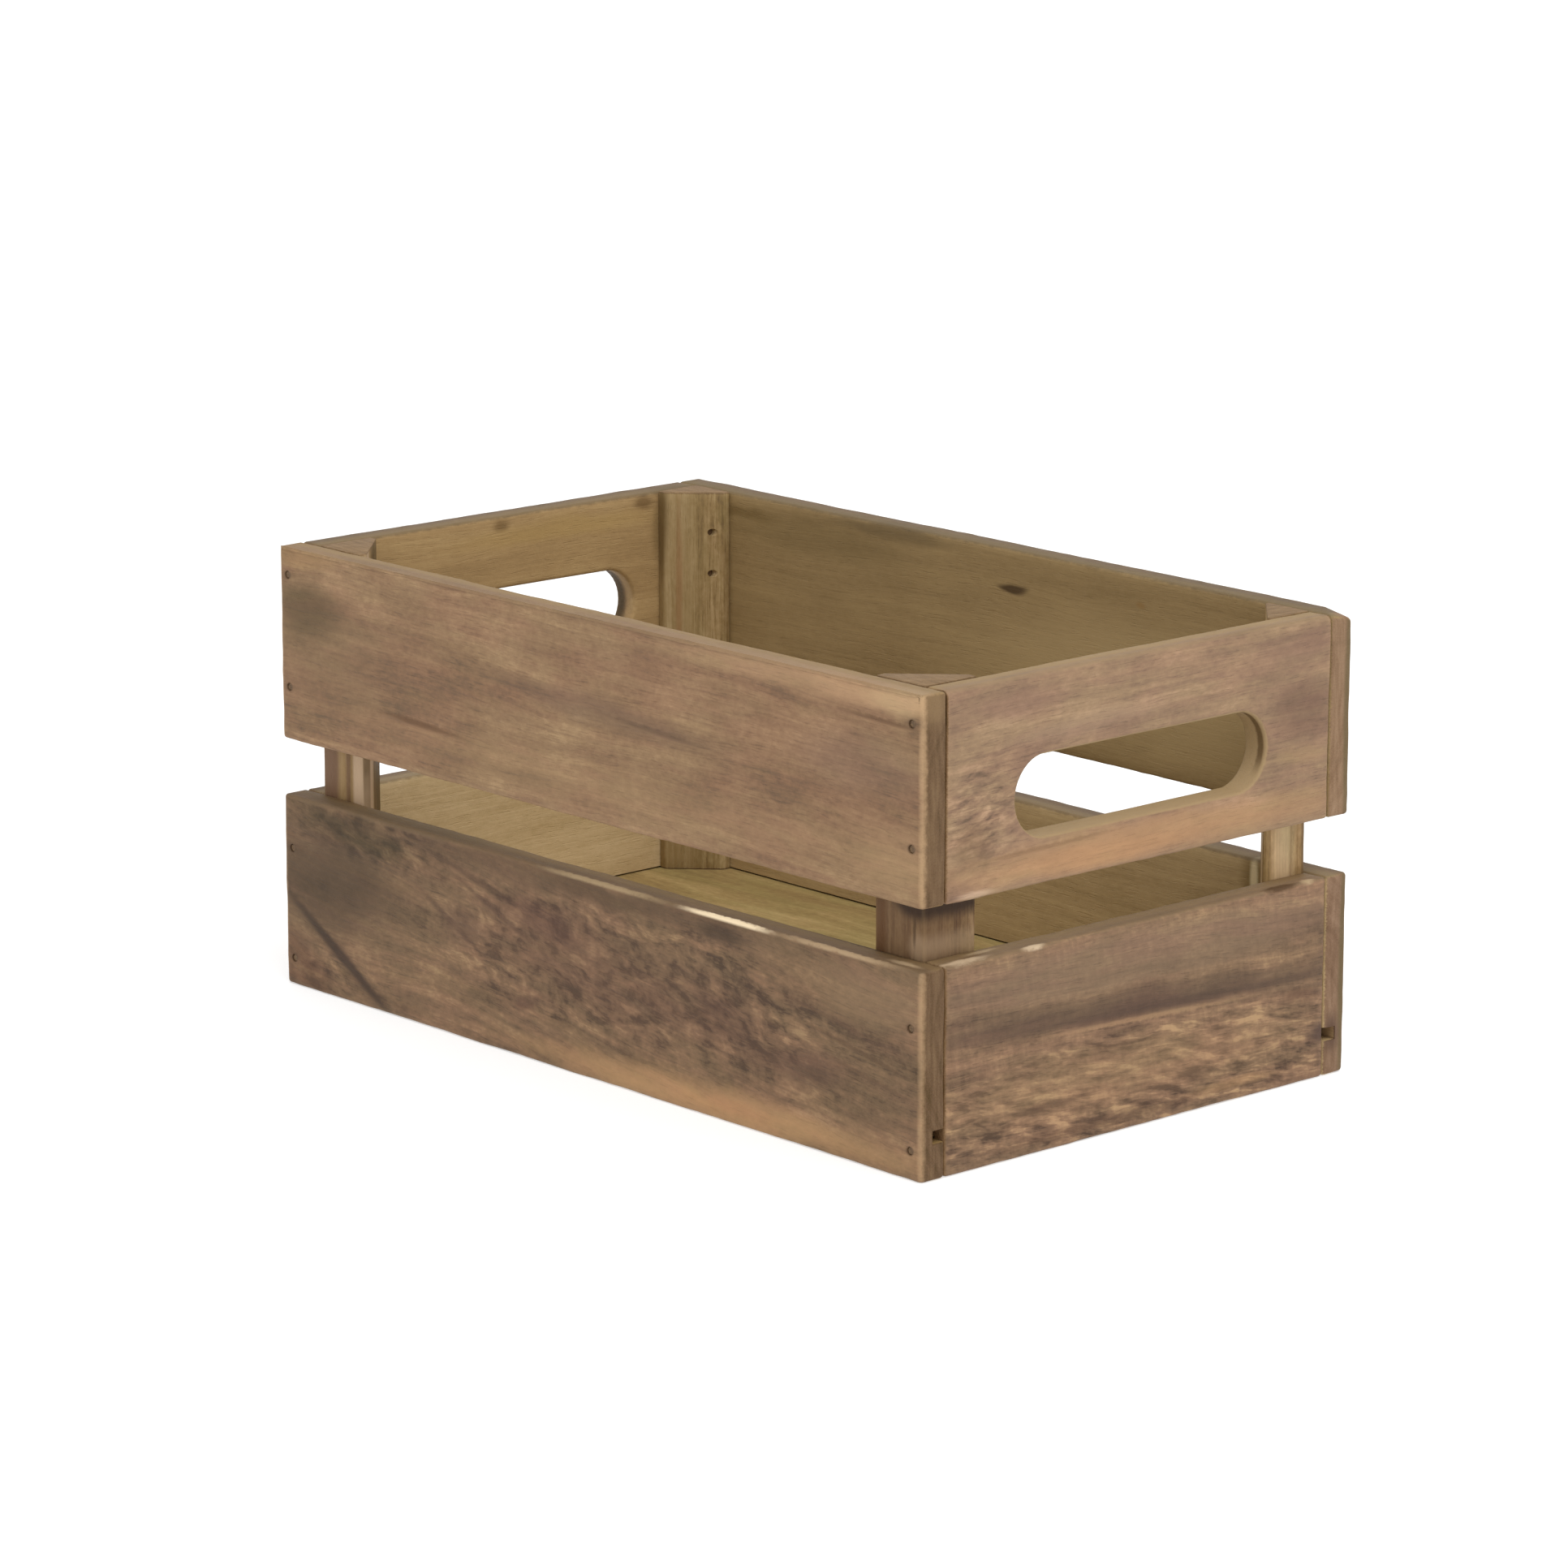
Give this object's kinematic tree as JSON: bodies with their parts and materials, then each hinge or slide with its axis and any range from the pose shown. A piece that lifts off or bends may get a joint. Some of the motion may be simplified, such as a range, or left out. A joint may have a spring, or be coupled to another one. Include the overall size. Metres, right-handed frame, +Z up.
{
  "type": "wooden apple crate",
  "caption": "Slatted wooden crate with oblong hand slots in its ends, nailed corners braced by three-cornered posts, and a thin floor held in grooves.",
  "frame": {"origin": "on the ground under the middle of the crate", "axes": "+X along the long walls, +Y from the front long wall to the back one, +Z up"},
  "size_m": [0.3, 0.178, 0.144],
  "materials": {
    "long_board_wood": "aged, brushed and stained, worn edges",
    "end_board_wood": "aged, brushed and stained, worn edges",
    "post_wood": "sawn, lightly stained",
    "floor_panel_wood": "smooth thin panel, yellow-ochre stain",
    "nail_steel": "dull, darkened heads"
  },
  "bodies": {
    "root": {"front_upper_board": "long_board_wood", "front_lower_board": "long_board_wood", "back_upper_board": "long_board_wood", "back_lower_board": "long_board_wood", "left_upper_end": "end_board_wood", "left_lower_end": "end_board_wood", "right_upper_end": "end_board_wood", "right_lower_end": "end_board_wood", "front_left_post": "post_wood", "front_right_post": "post_wood", "back_left_post": "post_wood", "back_right_post": "post_wood", "floor_panel": "floor_panel_wood", "front_upper_nails": "nail_steel", "front_lower_nails": "nail_steel", "back_upper_nails": "nail_steel", "back_lower_nails": "nail_steel", "front_left_post_nails": "nail_steel", "front_right_post_nails": "nail_steel", "back_left_post_nails": "nail_steel", "back_right_post_nails": "nail_steel"}
  },
  "joints": []
}
